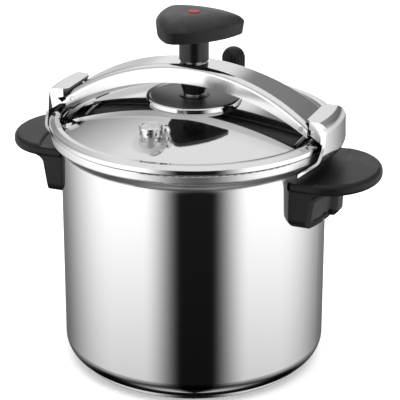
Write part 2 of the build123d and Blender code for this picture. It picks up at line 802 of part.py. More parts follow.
low_reach = pot_radius + block_low_depth
top_reach = pot_radius + block_top_depth
with BuildPart() as handle_right:
    with BuildSketch(Plane.XY.offset(wing_low_z)):
        with BuildLine():
            root_x = pot_radius - 10
            EllipticalCenterArc((wing_centre_x, 0), wing_reach, wing_half, start_angle=-90, arc_size=180)
            Polyline(
                (wing_centre_x, wing_half),
                (root_x, wing_half),
                (root_x, -wing_half),
                (wing_centre_x, -wing_half),
            )
        make_face()
    extrude(amount=wing_thick)
    wing_edges = handle_right.edges().filter_by(lambda e: e.center().X > root_x + 2)
    flat_edges = wing_edges.filter_by(lambda e: abs(e.tangent_at(0.5).Z) < 0.1)
    fillet(flat_edges.filter_by(lambda e: e.center().Z > wing_top_z - 1), wing_top_round)
    wing_edges = handle_right.edges().filter_by(lambda e: e.center().X > root_x + 2)
    flat_edges = wing_edges.filter_by(lambda e: abs(e.tangent_at(0.5).Z) < 0.1)
    fillet(flat_edges.filter_by(lambda e: e.center().Z < wing_low_z + 1), wing_low_round)
    with BuildPart(mode=Mode.PRIVATE) as block:
        with BuildSketch(Plane.XZ):
            with BuildLine():
                Polyline(
                    (pot_radius - 4, wing_low_z + 2),
                    (pot_radius - 4, block_low_z),
                    (low_reach, block_low_z),
                )
                Line((low_reach, block_low_z), (top_reach, wing_low_z - 7))
                ThreePointArc(
                    (top_reach, wing_low_z - 7),
                    (top_reach + 2.0, wing_low_z - 2.2),
                    (top_reach + 6, wing_low_z),
                )
                Polyline(
                    (top_reach + 6, wing_low_z),
                    (top_reach + 6, wing_low_z + 2),
                    (pot_radius - 4, wing_low_z + 2),
                )
            make_face()
        revolve(axis=Axis.Z)
        with BuildSketch(Plane.YZ.offset(pot_radius / 2)):
            with Locations((0, wing_low_z)):
                RectangleRounded(2 * block_half, 2 * (wing_low_z - block_low_z), block_round)
        extrude(amount=2 * pot_radius, mode=Mode.INTERSECT)
    add(block.part)
    with BuildPart(mode=Mode.PRIVATE) as panel:
        with BuildSketch(Plane.XZ):
            with BuildLine():
                Polyline(
                    (low_reach - 1.0, block_low_z - 2),
                    (top_reach - 1.2, wing_low_z - 7),
                    (top_reach + 8, wing_low_z - 7),
                    (top_reach + 8, block_low_z - 2),
                    close=True,
                )
            make_face()
        revolve(axis=Axis.Z)
        with BuildSketch(Plane.YZ.offset(pot_radius / 2)):
            with Locations((0, (wing_low_z + block_low_z) / 2 - 1.5)):
                RectangleRounded(2 * block_half - 14, wing_low_z - block_low_z - 14, 6)
        extrude(amount=2 * pot_radius, mode=Mode.INTERSECT)
    add(panel.part, mode=Mode.SUBTRACT)
    with BuildPart(mode=Mode.PRIVATE) as rib:
        with BuildSketch(Plane.XZ):
            with BuildLine():
                Polyline(
                    (pot_radius + plate_thick + 4, wing_low_z + 2),
                    (pot_radius + plate_thick + 4, block_low_z + 0.5),
                    (rib_reach - 4.5, block_low_z + 0.5),
                    (rib_reach - 1.0, block_low_z + 4.0),
                    (rib_reach, wing_low_z + 2),
                    close=True,
                )
            make_face()
        extrude(amount=rib_half, both=True)
        fillet(rib.edges().filter_by(lambda e: e.center().X > rib_reach - 5 and abs(e.center().Y) > 1), 1.6)
    add(rib.part)
    Cylinder(
        pot_radius + part_gap,
        3 * yoke_top_z,
        mode=Mode.SUBTRACT,
    )
    with BuildSketch(Plane.XZ):
        with BuildLine():
            Polyline(
                (pot_radius - 5, wing_top_z + 5),
                (pot_radius - 5, claw_edge_z - clamp_travel - 0.8),
                (claw_radius + 2, claw_edge_z - clamp_travel - 0.8),
                (claw_radius + 6, wing_top_z + 0.6),
                (claw_radius + 6, wing_top_z + 5),
                close=True,
            )
        make_face()
    revolve(axis=Axis.Z, mode=Mode.SUBTRACT)
    with BuildSketch(Plane.XY.offset(plate_low_z - part_gap)):
        Circle(pot_radius + plate_thick + part_gap)
        with Locations((pot_radius, 0)):
            Rectangle(pot_radius, 2 * (plate_half + part_gap), mode=Mode.INTERSECT)
    extrude(amount=plate_top_z - plate_low_z + 2 * part_gap, mode=Mode.SUBTRACT)
    with BuildSketch(Plane.XY.offset(lug_z)):
        Circle(pot_radius + lug_depth + part_gap)
        with Locations((pot_radius, 0)):
            Rectangle(pot_radius, 2 * (plate_half + part_gap), mode=Mode.INTERSECT)
    extrude(amount=lug_thick + part_gap, mode=Mode.SUBTRACT)
    with Locations((bolt_x, bolt_y, 0), (bolt_x, -bolt_y, 0)):
        Cylinder(
            bolt_radius + part_gap,
            lug_z + lug_thick + 3.5,
            align=(Align.CENTER, Align.CENTER, Align.MIN),
            mode=Mode.SUBTRACT,
        )
        Cylinder(
            bolt_head + 2 * part_gap,
            head_z + head_tall,
            align=(Align.CENTER, Align.CENTER, Align.MIN),
            mode=Mode.SUBTRACT,
        )
handle_right.part.label = "handle_right"
export_step(handle_right.part, "parts/handle_right.step")

with BuildPart() as handle_left:
    add(handle_right.part.rotate(Axis.Z, 180))
handle_left.part.label = "handle_left"
export_step(handle_left.part, "parts/handle_left.step")

bolt_spots = [(x * bolt_x, y * bolt_y, head_z) for x in (-1, 1) for y in (-1, 1)]
with BuildPart() as handle_bolts:
    with Locations(*bolt_spots):
        Cylinder(bolt_head, head_tall, align=(Align.CENTER, Align.CENTER, Align.MIN))
        Cylinder(
            bolt_radius,
            lug_z + lug_thick + 2.5 - head_z,
            align=(Align.CENTER, Align.CENTER, Align.MIN),
        )
        Cylinder(
            1.6,
            1.8,
            align=(Align.CENTER, Align.CENTER, Align.MIN),
            mode=Mode.SUBTRACT,
        )
handle_bolts.part.label = "handle_bolts"
export_step(handle_bolts.part, "parts/handle_bolts.step")

# Safety valve on the front of the lid
front = (-valve_offset, -valve_spot)
seal_thick = 1.2
valve_low_z = pad_z - 10.0
nut_top_z = pad_z - 2 * lid_sheet - seal_thick
body_low_z = pad_z
body_top_z = pad_z + 3.0
cap_low_z = body_top_z
cap_top = pad_z + 13.2
cap_radius = 10.2
cap_waist = 9.6
chamber = 6.6
bore_radius = 1.8


def turned(centre, points):
    """Solid of revolution about an upright axis at the centre."""
    plane = Plane(origin=(centre[0], centre[1], 0), x_dir=(1, 0, 0), z_dir=(0, -1, 0))
    with BuildSketch(plane) as profile:
        with BuildLine():
            Polyline(*points, close=True)
        make_face()
    revolve(profile.sketch, axis=Axis((centre[0], centre[1], 0), (0, 0, 1)))


with BuildPart() as valve_body:
    turned(
        front,
        [
            (bore_radius, valve_low_z),
            (spigot_radius, valve_low_z),
            (spigot_radius, body_low_z),
            (7.8, body_low_z),
            (7.8, body_top_z),
            (4.4, body_top_z),
            (4.4, body_top_z + 1.2),
            (bore_radius + 1.4, body_top_z + 1.2),
            (bore_radius, body_top_z - 0.2),
        ],
    )
valve_body.part.label = "valve_body"
export_step(valve_body.part, "parts/valve_body.step")

with BuildPart() as valve_cap:
    turned(
        front,
        [
            (4.8, cap_low_z),
            (cap_waist - 1.6, cap_low_z),
            (cap_waist, cap_low_z + 1.4),
            (cap_waist, cap_top - 3.4),
            (cap_radius, cap_top - 2.8),
            (cap_radius, cap_top - 1.0),
            (cap_radius - 1.0, cap_top),
            (cap_radius - 2.4, cap_top),
            (cap_radius - 3.0, cap_top - 0.4),
            (0, cap_top - 0.4),
            (0, cap_top - 1.8),
            (chamber, cap_top - 1.8),
            (chamber, cap_low_z + 1.6),
            (4.8, cap_low_z + 1.6),
        ],
    )
    for index in range(8):
        turn = index * 45 + 8
        spot = Location((front[0], front[1], cap_low_z + 4.6), (0, 0, turn)) * Location((8, 0, 0), (0, 90, 0))
        with Locations(spot):
            Cylinder(0.95, 7.0, mode=Mode.SUBTRACT)
valve_cap.part.label = "valve_cap"
export_step(valve_cap.part, "parts/valve_cap.step")

plunger_low_z = body_top_z - 0.1
disc_z = body_top_z + 2.0
spring_low_z = disc_z + 1.2
spring_top_z = cap_top - 1.8
with BuildPart() as valve_plunger:
    turned(
        front,
        [
            (0, plunger_low_z),
            (bore_radius - 0.3, plunger_low_z),
            (bore_radius + 1.0, disc_z),
            (chamber - 0.5, disc_z),
            (chamber - 0.5, spring_low_z),
            (2.4, spring_low_z),
            (2.4, spring_low_z + 3.4),
            (0, spring_low_z + 3.4),
        ],
    )
valve_plunger.part.label = "valve_plunger"
export_step(valve_plunger.part, "parts/valve_plunger.step")

wire = 0.5
coil_radius = 4.2
coil_turns = 3.5
coil_low_z = spring_low_z + wire + 0.05
coil_tall = spring_top_z - spring_low_z - 2 * wire - 0.1
with BuildPart() as valve_spring:
    with BuildLine(Plane.XY.offset(0)):
        coil = Helix(
            pitch=coil_tall / coil_turns,
            height=coil_tall,
            radius=coil_radius,
            center=(front[0], front[1], coil_low_z),
        )
    with BuildSketch(Plane(origin=coil @ 0, z_dir=coil % 0)):
        RegularPolygon(wire, 6)
    sweep(path=coil, is_frenet=True)
valve_spring.part.label = "valve_spring"
export_step(valve_spring.part, "parts/valve_spring.step")

with BuildPart() as valve_seal:
    turned(
        front,
        [
            (spigot_radius + 0.1, nut_top_z),
            (7.6, nut_top_z),
            (7.6, nut_top_z + seal_thick),
            (spigot_radius + 0.1, nut_top_z + seal_thick),
        ],
    )
valve_seal.part.label = "valve_seal"
export_step(valve_seal.part, "parts/valve_seal.step")

with BuildPart() as valve_nut:
    with BuildSketch(Plane.XY.offset(nut_top_z - 4.0)):
        with Locations(front):
            RegularPolygon(7.6, 6)
            Circle(spigot_radius, mode=Mode.SUBTRACT)
    extrude(amount=4.0)
valve_nut.part.label = "valve_nut"
export_step(valve_nut.part, "parts/valve_nut.step")

# Keeper beside the valve cap
with BuildPart() as valve_keeper:
    turned(
        keeper,
        [
            (0, pad_z),
            (2.6, pad_z),
            (2.6, pad_z + 3.0),
            (3.4, pad_z + 4.8),
            (4.5, pad_z + 7.2),
            (4.6, pad_z + 9.2),
            (3.9, pad_z + 11.4),
            (2.4, pad_z + 12.8),
            (0.6, pad_z + 13.3),
            (0, pad_z + 13.3),
        ],
    )
    with Locations((front[0], front[1], pad_z)):
        Cylinder(
            cap_radius + 0.4,
            3 * cap_top,
            mode=Mode.SUBTRACT,
        )
valve_keeper.part.label = "valve_keeper"
export_step(valve_keeper.part, "parts/valve_keeper.step")

# Operating valve on the rear of the lid
rear = (valve_offset, valve_spot)
nozzle_top_z = pad_z + 21.0
nozzle_radius = 4.2
weight_radius = 7.0
weight_low_z = nozzle_top_z + 0.3
grip_radius = 10.8
groove_depth = 0.7
rib_count = 10
rib_thick = 1.5
grip_low_z = pad_z + 4.2
grip_top_z = pad_z + 34.0
with BuildPart() as nozzle:
    turned(
        rear,
        [
            (1.2, valve_low_z),
            (spigot_radius, valve_low_z),
            (spigot_radius, pad_z),
            (8.2, pad_z),
            (8.2, pad_z + 2.2),
            (6.0, pad_z + 3.6),
            (nozzle_radius, pad_z + 3.6),
            (nozzle_radius, nozzle_top_z),
            (1.2, nozzle_top_z),
        ],
    )
nozzle.part.label = "nozzle"
export_step(nozzle.part, "parts/nozzle.step")

with BuildPart() as nozzle_seal:
    turned(
        rear,
        [
            (spigot_radius + 0.1, nut_top_z),
            (7.6, nut_top_z),
            (7.6, nut_top_z + seal_thick),
            (spigot_radius + 0.1, nut_top_z + seal_thick),
        ],
    )
nozzle_seal.part.label = "nozzle_seal"
export_step(nozzle_seal.part, "parts/nozzle_seal.step")

with BuildPart() as nozzle_nut:
    with BuildSketch(Plane.XY.offset(nut_top_z - 4.0)):
        with Locations(rear):
            RegularPolygon(7.6, 6)
            Circle(spigot_radius, mode=Mode.SUBTRACT)
    extrude(amount=4.0)
nozzle_nut.part.label = "nozzle_nut"
export_step(nozzle_nut.part, "parts/nozzle_nut.step")

with BuildPart() as regulator_weight:
    turned(
        rear,
        [
            (0, weight_low_z),
            (0.9, weight_low_z),
            (weight_radius, weight_low_z + 0.6),
            (weight_radius, weight_low_z + 6.0),
            (0, weight_low_z + 6.0),
        ],
    )
regulator_weight.part.label = "regulator_weight"
export_step(regulator_weight.part, "parts/regulator_weight.step")

dome_low_z = grip_top_z - grip_radius
rear_plane = Plane(origin=(rear[0], rear[1], 0), x_dir=(1, 0, 0), z_dir=(0, -1, 0))
rear_axis = Axis((rear[0], rear[1], 0), (0, 0, 1))
with BuildPart() as regulator_grip:
    with BuildSketch(rear_plane) as grip_profile:
        with BuildLine():
            ThreePointArc(
                (crown_flat, grip_top_z),
                (0.73 * grip_radius, dome_low_z + 0.7 * grip_radius),
                (grip_radius, dome_low_z),
            )
            Polyline(
                (grip_radius, dome_low_z),
                (grip_radius, grip_low_z + 0.6),
                (grip_radius - 0.6, grip_low_z),
                (nozzle_radius + run_gap, grip_low_z),
                (nozzle_radius + run_gap, nozzle_top_z - 1.0),
                (weight_radius + 0.4, nozzle_top_z - 1.0),
                (weight_radius + 0.4, weight_low_z + 8.6),
                (0, weight_low_z + 8.6),
                (0, grip_top_z),
                (crown_flat, grip_top_z),
            )
        make_face()
    revolve(grip_profile.sketch, axis=rear_axis)
    with BuildPart(mode=Mode.PRIVATE) as groove_skin:
        with BuildSketch(rear_plane) as skin_profile:
            with BuildLine():
                ThreePointArc(
                    (2.0, grip_top_z - groove_depth),
                    (0.73 * grip_radius - groove_depth, dome_low_z + 0.7 * grip_radius - 0.7 * groove_depth),
                    (grip_radius - groove_depth, dome_low_z),
                )
                Polyline(
                    (grip_radius - groove_depth, dome_low_z),
                    (grip_radius - groove_depth, grip_low_z + 3.0),
                    (grip_radius + 2, grip_low_z + 3.0),
                    (grip_radius + 2, grip_top_z + 2),
                    (2.0, grip_top_z + 2),
                    (2.0, grip_top_z - groove_depth),
                )
            make_face()
        revolve(skin_profile.sketch, axis=rear_axis)
        for index in range(rib_count):
            with Locations(Location((rear[0], rear[1], grip_low_z), (0, 0, index * 180 / rib_count))):
                Box(
                    4 * grip_radius,
                    rib_thick,
                    4 * grip_radius,
                    align=(Align.CENTER, Align.CENTER, Align.MIN),
                    mode=Mode.SUBTRACT,
                )
    add(groove_skin.part, mode=Mode.SUBTRACT)
regulator_grip.part.label = "regulator_grip"
export_step(regulator_grip.part, "parts/regulator_grip.step")
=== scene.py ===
"""Looks of a pressure canner: steel pot, domed lid, channel yoke, two claws and a clamp knob."""

import logging
import math
from dataclasses import dataclass, field
from enum import Enum
from typing import Any, Dict, List, Optional, Sequence, Tuple, Union

import bpy
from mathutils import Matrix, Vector


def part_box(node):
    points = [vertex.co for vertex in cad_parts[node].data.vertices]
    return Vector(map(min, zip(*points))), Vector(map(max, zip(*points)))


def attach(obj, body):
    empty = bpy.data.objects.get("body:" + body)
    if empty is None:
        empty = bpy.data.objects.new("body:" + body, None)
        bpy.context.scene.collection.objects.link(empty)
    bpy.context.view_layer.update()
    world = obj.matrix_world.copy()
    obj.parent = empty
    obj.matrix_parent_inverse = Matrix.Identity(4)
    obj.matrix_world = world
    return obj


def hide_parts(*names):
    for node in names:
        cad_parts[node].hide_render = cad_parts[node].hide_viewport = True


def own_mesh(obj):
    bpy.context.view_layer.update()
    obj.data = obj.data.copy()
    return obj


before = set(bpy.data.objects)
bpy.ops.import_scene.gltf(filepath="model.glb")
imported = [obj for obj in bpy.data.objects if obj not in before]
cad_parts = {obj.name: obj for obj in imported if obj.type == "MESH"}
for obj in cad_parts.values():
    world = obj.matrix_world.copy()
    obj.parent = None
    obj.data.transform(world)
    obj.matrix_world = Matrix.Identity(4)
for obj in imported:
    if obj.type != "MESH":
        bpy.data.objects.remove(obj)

log = logging.getLogger("canner")

Colour = Tuple[float, float, float]
Point = Tuple[float, float, float]
Span = Tuple[float, float]
MM = 0.001


class Lay(Enum):
    """Way that the polishing lines of a metal face run."""

    AROUND = "around the Z axis"
    ALONG_X = "along the X axis"
    UPRIGHT = "up and down"


class Hollow(Enum):
    """Which faces of a bent sheet are its inner ones, made rougher and painted darker as painted
    shade.
    """

    NONE = "no inner faces"
    CHANNEL = "faces turned down or to the middle plane"
    DISH = "faces turned up"
    HOOK = "faces turned down, to the middle plane or to the pot"


class Value:
    """A number in a node tree, so that shader maths reads as plain expressions."""

    def __init__(self, graph: "Graph", socket: bpy.types.NodeSocket) -> None:
        """Keeps the tree and the socket."""
        self.graph = graph
        self.socket = socket

    def __add__(self, other: "Term") -> "Value":
        """Sum of the two."""
        return self.graph.math("ADD", self, other)

    def __radd__(self, other: "Term") -> "Value":
        """Sum, with the number first."""
        return self.graph.math("ADD", other, self)

    def __sub__(self, other: "Term") -> "Value":
        """Difference of the two."""
        return self.graph.math("SUBTRACT", self, other)

    def __rsub__(self, other: "Term") -> "Value":
        """Difference, with the number first."""
        return self.graph.math("SUBTRACT", other, self)

    def __mul__(self, other: "Term") -> "Value":
        """Product of the two."""
        return self.graph.math("MULTIPLY", self, other)

    def __rmul__(self, other: "Term") -> "Value":
        """Product, with the number first."""
        return self.graph.math("MULTIPLY", other, self)

    def __pow__(self, other: "Term") -> "Value":
        """Power of the two."""
        return self.graph.math("POWER", self, other)

    def absolute(self) -> "Value":
        """Size without its sign."""
        return self.graph.math("ABSOLUTE", self, 0.0)

    def ease(self, low: float, high: float) -> "Value":
        """Soft step from 0 at low to 1 at high.

        Args:
            low: Value where the step starts.
            high: Value where the step ends.

        Returns:
            The eased value.
        """
        node = self.graph.node(
            "ShaderNodeMapRange",
            {"interpolation_type": "SMOOTHSTEP", "clamp": True},
            {"Value": self, "From Min": low, "From Max": high},
        )
        return Value(self.graph, node.outputs["Result"])

    def window(self, low: Span, high: Span) -> "Value":
        """Soft window between two edges.

        Args:
            low: Where the window opens, from 0 to 1.
            high: Where it closes, from 1 to 0.

        Returns:
            1 inside the window and 0 outside it.
        """
        return self.ease(*low) * (1.0 - self.ease(*high))

    def ramp(self, low: float, high: float, start: float, end: float) -> "Value":
        """Straight ramp between two values, level beyond them.

        Args:
            low: Value where the ramp starts.
            high: Value where the ramp ends.
            start: Result at low.
            end: Result at high.

        Returns:
            The ramped value.
        """
        node = self.graph.node(
            "ShaderNodeMapRange",
            {"interpolation_type": "LINEAR", "clamp": True},
            {"Value": self, "From Min": low, "From Max": high, "To Min": start, "To Max": end},
        )
        return Value(self.graph, node.outputs["Result"])

    def larger(self, other: "Term") -> "Value":
        """The larger of the two."""
        return self.graph.math("MAXIMUM", self, other)

    def sign(self) -> "Value":
        """Minus one, nought or one."""
        return self.graph.math("SIGN", self, 0.0)


Term = Union[Value, float]


class Graph:
    """A node tree that is written as calls and expressions."""

    def __init__(self, tree: bpy.types.NodeTree) -> None:
        """Empties the tree and keeps it."""
        self.tree = tree
        tree.nodes.clear()

    def node(
        self,
        kind: str,
        settings: Optional[Dict[str, Any]] = None,
        inputs: Optional[Dict[Union[str, int], Any]] = None,
    ) -> bpy.types.Node:
        """Adds one node.

        Args:
            kind: Type name of the node.
            settings: Properties of the node, set first.
            inputs: Values or links of its sockets, by name or number.

        Returns:
            The new node.
        """
        made = self.tree.nodes.new(kind)
        for name, value in (settings or {}).items():
            setattr(made, name, value)
        for name, value in (inputs or {}).items():
            self.feed(made.inputs[name], value)
        return made

    def feed(self, socket: bpy.types.NodeSocket, value: Any) -> None:
        """Links or sets one input.

        Args:
            socket: The input.
            value: A Value, an output socket or a plain value.
        """
        if isinstance(value, Value):
            self.tree.links.new(value.socket, socket)
        elif isinstance(value, bpy.types.NodeSocket):
            self.tree.links.new(value, socket)
        elif socket.type == "RGBA" and len(value) == 3:
            socket.default_value = (*value, 1.0)
        else:
            socket.default_value = value

    def math(self, operation: str, first: Term, second: Term) -> Value:
        """Adds a Math node on two terms.

        Args:
            operation: Name of the operation.
            first: First term.
            second: Second term.

        Returns:
            The result.
        """
        made = self.node("ShaderNodeMath", {"operation": operation}, {0: first, 1: second})
        return Value(self, made.outputs[0])

    def mix(self, factor: Term, first: Any, second: Any) -> bpy.types.NodeSocket:
        """Mixes two colours.

        Args:
            factor: Share of the second colour.
            first: First colour.
            second: Second colour.

        Returns:
            The mixed colour's socket.
        """
        made = self.node(
            "ShaderNodeMix",
            {"data_type": "RGBA", "clamp_factor": True},
            {0: factor, 6: first, 7: second},
        )
        return made.outputs[2]

    def bump(self, strength: float, distance: float, height: Value) -> bpy.types.NodeSocket:
        """Turns a height into a normal.

        Args:
            strength: Share of the effect.
            distance: Depth of a height of 1, in metres.
            height: The height.

        Returns:
            The normal's socket.
        """
        made = self.node(
            "ShaderNodeBump",
            None,
            {"Strength": strength, "Distance": distance, "Height": height},
        )
        return made.outputs[0]

    def axes(self, place: bpy.types.NodeSocket) -> Tuple[Value, Value, Value]:
        """Splits a vector into its three numbers."""
        made = self.node("ShaderNodeSeparateXYZ", None, {0: place})
        x, y, z = (Value(self, out) for out in made.outputs)
        return x, y, z

    def vector(self, x: Term, y: Term, z: Term) -> bpy.types.NodeSocket:
        """Joins three numbers into a vector."""
        return self.node("ShaderNodeCombineXYZ", None, {0: x, 1: y, 2: z}).outputs[0]

    def noise(self, place: Any, scale: float, detail: float = 2.0, rough: float = 0.5) -> Value:
        """Adds soft noise.

        Args:
            place: Coordinates to read.
            scale: Cells per metre.
            detail: Octaves.
            rough: Weight of the finer octaves.

        Returns:
            Noise from 0 to 1.
        """
        made = self.node(
            "ShaderNodeTexNoise",
            {"noise_dimensions": "3D"},
            {"Vector": place, "Scale": scale, "Detail": detail, "Roughness": rough},
        )
        return Value(self, made.outputs["Fac"])


@dataclass(frozen=True)
class Finish:
    """One finish of the object, with its slot in the record."""

    slot: str
    colour: Colour
    roughness: float
    title: str = field(default="", kw_only=True)

    def material(self) -> bpy.types.Material:
        """Makes the material or gives the one already made.

        Returns:
            The material of this finish.
        """
        name = "finish_" + (self.title or self.slot)
        known = bpy.data.materials.get(name)
        if known is not None:
            return known
        made = bpy.data.materials.new(name)
        made.use_nodes = True
        made.diffuse_color = (*self.colour, 1.0)
        graph = Graph(made.node_tree)
        shader = graph.node("ShaderNodeBsdfPrincipled")
        self.wire(graph, shader)
        graph.node("ShaderNodeOutputMaterial", None, {"Surface": shader.outputs[0]})
        return made

    def wire(self, graph: Graph, shader: bpy.types.Node) -> None:
        """Feeds the shader in each kind of finish; this base one only raises.

        Args:
            graph: Tree of the material; not used here.
            shader: Its Principled node; not used here.
        """
        raise NotImplementedError


@dataclass(frozen=True)
class PolishedSteel(Finish):
    """Stainless sheet with polishing lines, wipe marks, satin zones, and inner faces that are
    rougher and carry painted shade.
    """

    lay: Lay = Lay.AROUND
    lines: float = 2600.0
    line_depth: float = 0.02
    haze: float = 0.03
    hollow: Hollow = Hollow.NONE
    # Colour of the inner faces: painted shade, darker than the steel really is.
    dull_and_shade: Colour = (0.17, 0.17, 0.173)
    inner_shade_share: float = 0.95
    dull_rough: float = 0.36
    satin_from: float = 0.0
    satin_edge: float = 0.006
    satin: float = 0.4
    satin_colour: Colour = (0.92, 0.92, 0.92)
    pads: Tuple[Span, ...] = ()
    pad_reach: float = 0.019
    pad_edge: float = 0.005
    round_stretch: float = 0.004
    straight_stretch: float = 0.012
    cloud_scale: float = 14.0
    smear_scale: float = 55.0
    turned: Span = (0.12, 0.4)

    def inner(self, graph: Graph, x: Value, y: Value) -> Value:
        """Share of the inner side of a bent sheet, which is rougher and carries painted shade.

        Args:
            graph: Tree of the material.
            x: Place along X.
            y: Place along Y.

        Returns:
            1 on the inner faces and 0 on the outer ones.
        """
        nx, ny, nz = graph.axes(graph.node("ShaderNodeTexCoord").outputs["Normal"])
        if self.hollow is Hollow.DISH:
            return nz.ease(0.8, 0.95)
        share = (0.0 - nz).ease(*self.turned).larger((0.0 - y.sign() * ny).ease(*self.turned))
        if self.hollow is Hollow.HOOK:
            share = share.larger((0.0 - x.sign() * nx).ease(*self.turned))
        return share

    def along(self, graph: Graph, x: Value, y: Value, z: Value) -> bpy.types.NodeSocket:
        """Coordinates that are stretched along the polishing lines.

        Args:
            graph: Tree of the material.
            x: Place along X.
            y: Place along Y.
            z: Place along Z.

        Returns:
            The stretched coordinates.
        """
        if self.lay is Lay.AROUND:
            reach = (x * x + y * y) ** 0.5
            turn = graph.math("ARCTAN2", y, x)
            return graph.vector(reach, turn * self.round_stretch, z)
        if self.lay is Lay.ALONG_X:
            return graph.vector(x * self.straight_stretch, y, z)
        return graph.vector(x, y, z * self.straight_stretch)

    def zones(
        self, graph: Graph, place: Tuple[Value, Value, Value], colour: Any, rough: Value
    ) -> Tuple[Any, Value]:
        """Makes the rim band and the valve pads satin, and the inner faces rougher with painted
        shade darkening their colour.

        Args:
            graph: Tree of the material.
            place: The three coordinates.
            colour: Colour so far.
            rough: Roughness so far.

        Returns:
            Colour and roughness.
        """
        x, y, z = place
        if self.satin_from:
            band = z.ease(self.satin_from, self.satin_from + self.satin_edge)
            colour = graph.mix(band, colour, self.satin_colour)
            rough = rough + band * self.satin
        for pad_x, pad_y in self.pads:
            away = ((x - pad_x) ** 2.0 + (y - pad_y) ** 2.0) ** 0.5
            pad = 1.0 - away.ease(self.pad_reach - self.pad_edge, self.pad_reach)
            rough = rough + pad * self.satin
        # Painted shade: the inner faces are mixed towards a dark colour; their added roughness is
        # the real duller finish.
        if self.hollow is not Hollow.NONE:
            share = self.inner(graph, x, y)
            colour = graph.mix(share * self.inner_shade_share, colour, self.dull_and_shade)
            rough = rough + share * self.dull_rough
        return colour, rough

    def wire(self, graph: Graph, shader: bpy.types.Node) -> None:
        """Feeds the shader with lines, haze and wipe marks.

        Args:
            graph: Tree of the material.
            shader: Its Principled node.
        """
        place = graph.node("ShaderNodeTexCoord").outputs["Object"]
        x, y, z = graph.axes(place)
        lines = graph.noise(self.along(graph, x, y, z), self.lines, 3.0, 0.6)
        cloud = graph.noise(place, self.cloud_scale, 3.0, 0.55)
        wiped = graph.noise(place, self.smear_scale, 4.0, 0.6).ease(0.55, 0.8)
        tone = (cloud - 0.5) * 0.06 + (lines - 0.5) * 0.05 + 0.5
        darker = tuple(0.9 * c for c in self.colour)
        lighter = tuple(min(1.0, 1.06 * c) for c in self.colour)
        colour = graph.mix(tone, darker, lighter)
        streaks = (lines - 0.5) * (0.5 * self.haze)
        rough = self.roughness + streaks + cloud * (0.4 * self.haze) + wiped * self.haze
        colour, rough = self.zones(graph, (x, y, z), colour, rough)
        graph.feed(shader.inputs["Base Color"], colour)
        shader.inputs["Metallic"].default_value = 1.0
        graph.feed(shader.inputs["Roughness"], rough)
        graph.feed(shader.inputs["Normal"], graph.bump(0.35, MM, lines * self.line_depth))


@dataclass(frozen=True)
class MouldedPlastic(Finish):
    """Satin moulding with a fine grain, slight mottling and rubbed places."""

    grain: float = 1900.0
    grain_depth: float = 0.10
    rub: float = 0.08
    lift: float = 1.5
    shine: float = 0.22
    flow_scale: float = 70.0
    rub_scale: float = 24.0

    def refine(
        self, graph: Graph, place: bpy.types.NodeSocket, colour: Any, rough: Value
    ) -> Tuple[Any, Value]:
        """Changes the finish where the moulding differs; here it is the same all over.

        Args:
            graph: Tree of the material; not used here.
            place: Coordinates to read; not used here.
            colour: Colour so far.
            rough: Roughness so far.

        Returns:
            Colour and roughness.
        """
        return colour, rough

    def wire(self, graph: Graph, shader: bpy.types.Node) -> None:
        """Feeds the shader with grain and rubbed places.

        Args:
            graph: Tree of the material.
            shader: Its Principled node.
        """
        place = graph.node("ShaderNodeTexCoord").outputs["Object"]
        grain = graph.noise(place, self.grain, 2.0, 0.55)
        flow = graph.noise(place, self.flow_scale, 3.0, 0.5)
        rubbed = graph.noise(place, self.rub_scale, 3.0, 0.6).ease(0.5, 0.75)
        pale = tuple(min(1.0, self.lift * c) for c in self.colour)
        colour = graph.mix((flow - 0.3) * 0.7 + rubbed * 0.25, self.colour, pale)
        rough = self.roughness + (grain - 0.5) * 0.12 + (flow - 0.5) * 0.08 - rubbed * self.rub
        colour, rough = self.refine(graph, place, colour, rough)
        graph.feed(shader.inputs["Base Color"], colour)
        graph.feed(shader.inputs["Roughness"], rough)
        shader.inputs["Specular IOR Level"].default_value = self.shine
        height = grain * self.grain_depth + flow * (0.4 * self.grain_depth)
        graph.feed(shader.inputs["Normal"], graph.bump(0.3, 0.6 * MM, height))


@dataclass(frozen=True)
class HandlePlastic(MouldedPlastic):
    """Handle moulding with a paler matt panel let into each block."""

    panel: Colour = (0.05, 0.05, 0.052)
    reach: float = 0.129
    half: float = 0.0437
    low: float = 0.1618
    high: float = 0.1822
    mottle_scale: float = 130.0
    matt: float = 0.12

    def refine(
        self, graph: Graph, place: bpy.types.NodeSocket, colour: Any, rough: Value
    ) -> Tuple[Any, Value]:
        """Makes the panel paler and duller.

        Args:
            graph: Tree of the material.
            place: Coordinates to read.
            colour: Colour so far.
            rough: Roughness so far.

        Returns:
            Colour and roughness.
        """
        x, y, z = graph.axes(place)
        level = z.window((self.low, self.low + MM), (self.high - MM, self.high))
        out = ((x * x + y * y) ** 0.5).ease(self.reach, self.reach + MM)
        across = 1.0 - y.absolute().ease(self.half - MM, self.half)
        share = level * (out * across)
        mottle = graph.noise(place, self.mottle_scale, 3.0, 0.6)
        pale = graph.mix(share * (0.6 + mottle * 0.6), colour, self.panel)
        return pale, rough + share * self.matt


@dataclass(frozen=True)
class KnobPlastic(MouldedPlastic):
    """Knob moulding with a glossier stem."""

    stem_top: float = 0.3075
    stem_gloss: float = 0.22
    wear_rise: float = 0.012
    wear_scale: float = 90.0
    wear_colour: Colour = (0.035, 0.035, 0.037)

    def refine(
        self, graph: Graph, place: bpy.types.NodeSocket, colour: Any, rough: Value
    ) -> Tuple[Any, Value]:
        """Makes the stem glossier and the grip's crown a little worn.

        Args:
            graph: Tree of the material.
            place: Coordinates to read.
            colour: Colour so far.
            rough: Roughness so far.

        Returns:
            Colour and roughness.
        """
        z = graph.axes(place)[2]
        stem = 1.0 - z.ease(self.stem_top - MM, self.stem_top + MM)
        patches = graph.noise(place, self.wear_scale, 4.0, 0.65).ease(0.52, 0.72)
        worn = patches * z.ease(self.stem_top, self.stem_top + self.wear_rise)
        colour = graph.mix(worn * 0.3, colour, self.wear_colour)
        return colour, rough - stem * self.stem_gloss - worn * 0.05


